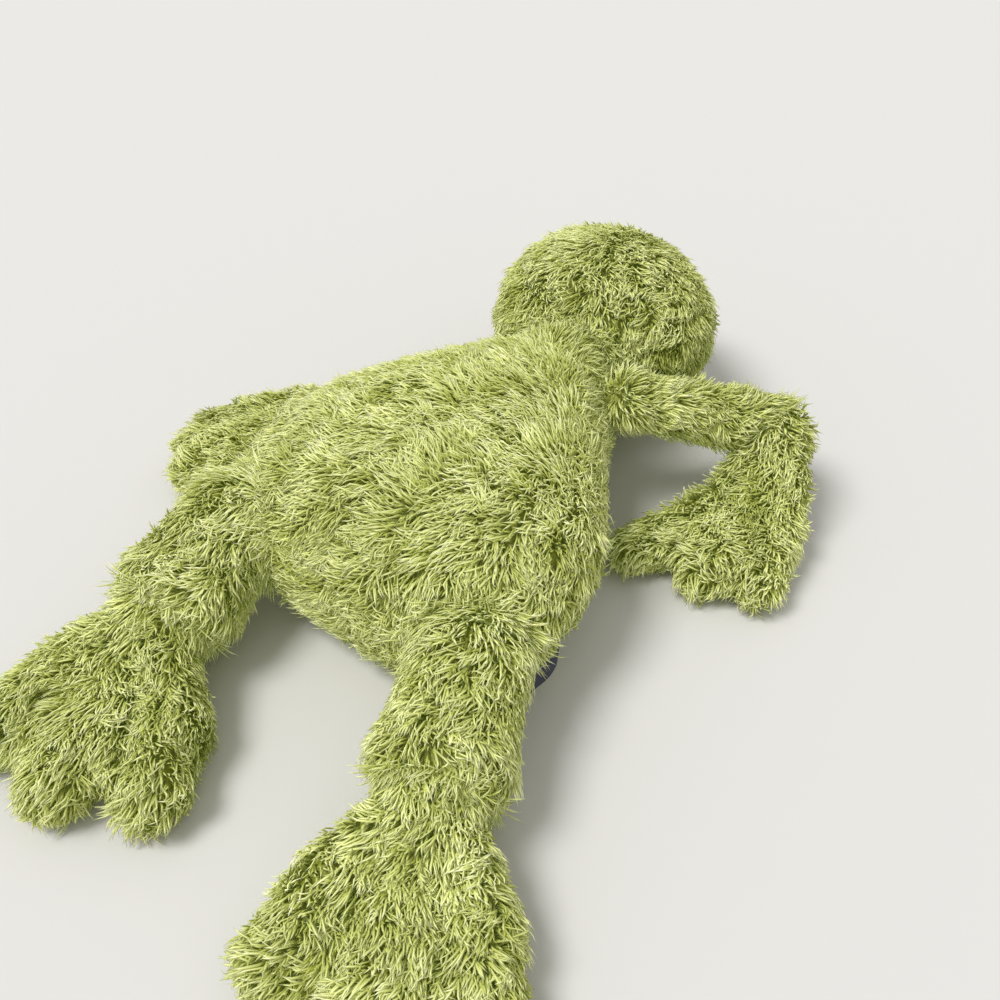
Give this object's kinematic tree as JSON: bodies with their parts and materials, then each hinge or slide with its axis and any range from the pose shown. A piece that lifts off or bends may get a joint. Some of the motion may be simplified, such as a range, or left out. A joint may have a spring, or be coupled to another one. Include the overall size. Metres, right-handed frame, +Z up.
{
  "type": "plush frog",
  "caption": "Long-haired green plush frog lying flat on its belly, with a round head, floppy arms and legs and broad webless hands and feet.",
  "frame": {"origin": "on the table under the middle of the belly", "axes": "-Y towards the head, +Y towards the feet, +Z up, -X on the frog's own right side"},
  "size_m": [0.3697, 0.4783, 0.1125],
  "materials": {
    "lime_plush": "long shaggy pile, matt",
    "polyester_fibre": "loose white fibre",
    "pellet_bag_cloth": "thin woven cloth filled with plastic pellets",
    "black_eye_plastic": "polished black",
    "washer_plastic": "plain moulded",
    "green_thread": "sewing thread",
    "dark_thread": "embroidery thread",
    "navy_label_weave": "woven tape, bare"
  },
  "bodies": {
    "torso": {"torso_cover": "lime_plush", "torso_stuffing": "polyester_fibre", "torso_pellet_bag": "pellet_bag_cloth", "side_label": "navy_label_weave"},
    "neck_seam": {"neck_seam_thread": "green_thread"},
    "head": {"head_cover": "lime_plush", "head_stuffing": "polyester_fibre", "mouth_thread": "dark_thread", "right_eye": "black_eye_plastic", "left_eye": "black_eye_plastic", "right_eye_washer": "washer_plastic", "left_eye_washer": "washer_plastic"},
    "right_shoulder_seam": {"right_shoulder_seam_thread": "green_thread"},
    "right_upper_arm": {"right_upper_arm_cover": "lime_plush", "right_upper_arm_stuffing": "polyester_fibre"},
    "right_forearm": {"right_forearm_cover": "lime_plush", "right_hand_pellet_bag": "pellet_bag_cloth"},
    "right_hip_seam": {"right_hip_seam_thread": "green_thread"},
    "right_leg": {"right_leg_cover": "lime_plush", "right_leg_stuffing": "polyester_fibre"},
    "right_foot": {"right_foot_cover": "lime_plush", "right_foot_pellet_bag": "pellet_bag_cloth"},
    "left_shoulder_seam": {"left_shoulder_seam_thread": "green_thread"},
    "left_upper_arm": {"left_upper_arm_cover": "lime_plush", "left_upper_arm_stuffing": "polyester_fibre"},
    "left_forearm": {"left_forearm_cover": "lime_plush", "left_hand_pellet_bag": "pellet_bag_cloth"},
    "left_hip_seam": {"left_hip_seam_thread": "green_thread"},
    "left_leg": {"left_leg_cover": "lime_plush", "left_leg_stuffing": "polyester_fibre"},
    "left_foot": {"left_foot_cover": "lime_plush", "left_foot_pellet_bag": "pellet_bag_cloth"}
  },
  "joints": [
    {"name": "neck_nod", "type": "hinge", "parent": "torso", "child": "neck_seam", "pos_m": [0, -0.1, 0.058], "axis": [-1, 0, 0], "range_deg": [-8, 35]},
    {"name": "neck_twist", "type": "hinge", "parent": "neck_seam", "child": "head", "pos_m": [0, -0.1, 0.058], "axis": [0.1392, -0.9903, 0], "range_deg": [-60, 60]},
    {"name": "right_shoulder_swing", "type": "hinge", "parent": "torso", "child": "right_shoulder_seam", "pos_m": [-0.0495, -0.101, 0.07], "axis": [0, 0, 1], "range_deg": [-8, 12]},
    {"name": "right_shoulder_raise", "type": "hinge", "parent": "right_shoulder_seam", "child": "right_upper_arm", "pos_m": [-0.0495, -0.101, 0.07], "axis": [-0.6018, 0.7986, 0], "range_deg": [-8, 40]},
    {"name": "right_elbow", "type": "hinge", "parent": "right_upper_arm", "child": "right_forearm", "pos_m": [-0.12147, -0.15523, 0.047], "axis": [0, 0, 1], "range_deg": [0, 120]},
    {"name": "right_hip_swing", "type": "hinge", "parent": "torso", "child": "right_hip_seam", "pos_m": [-0.075, 0.08, 0.048], "axis": [0, 0, 1], "range_deg": [-5, 30]},
    {"name": "right_hip_raise", "type": "hinge", "parent": "right_hip_seam", "child": "right_leg", "pos_m": [-0.075, 0.08, 0.048], "axis": [0.9336, 0.3584, 0], "range_deg": [-12, 40]},
    {"name": "right_ankle", "type": "hinge", "parent": "right_leg", "child": "right_foot", "pos_m": [-0.09551, 0.13343, 0.03], "axis": [0.9272, 0.3746, 0], "range_deg": [-45, 20]},
    {"name": "left_shoulder_swing", "type": "hinge", "parent": "torso", "child": "left_shoulder_seam", "pos_m": [0.0495, -0.101, 0.04], "axis": [0, 0, 1], "range_deg": [-60, 0]},
    {"name": "left_shoulder_raise", "type": "hinge", "parent": "left_shoulder_seam", "child": "left_upper_arm", "pos_m": [0.0495, -0.101, 0.04], "axis": [0.6428, -0.766, 0], "range_deg": [-12, 8]},
    {"name": "left_elbow", "type": "hinge", "parent": "left_upper_arm", "child": "left_forearm", "pos_m": [0.1189, -0.04276, 0.019], "axis": [0, 0, -1], "range_deg": [0, 40]},
    {"name": "left_hip_swing", "type": "hinge", "parent": "torso", "child": "left_hip_seam", "pos_m": [0.075, 0.08, 0.048], "axis": [0, 0, 1], "range_deg": [-25, 1]},
    {"name": "left_hip_raise", "type": "hinge", "parent": "left_hip_seam", "child": "left_leg", "pos_m": [0.075, 0.08, 0.048], "axis": [0.9976, 0.0698, 0], "range_deg": [-1, 40]},
    {"name": "left_ankle", "type": "hinge", "parent": "left_leg", "child": "left_foot", "pos_m": [0.07101, 0.1371, 0.03], "axis": [0.9703, 0.2419, 0], "range_deg": [-45, 20]}
  ]
}
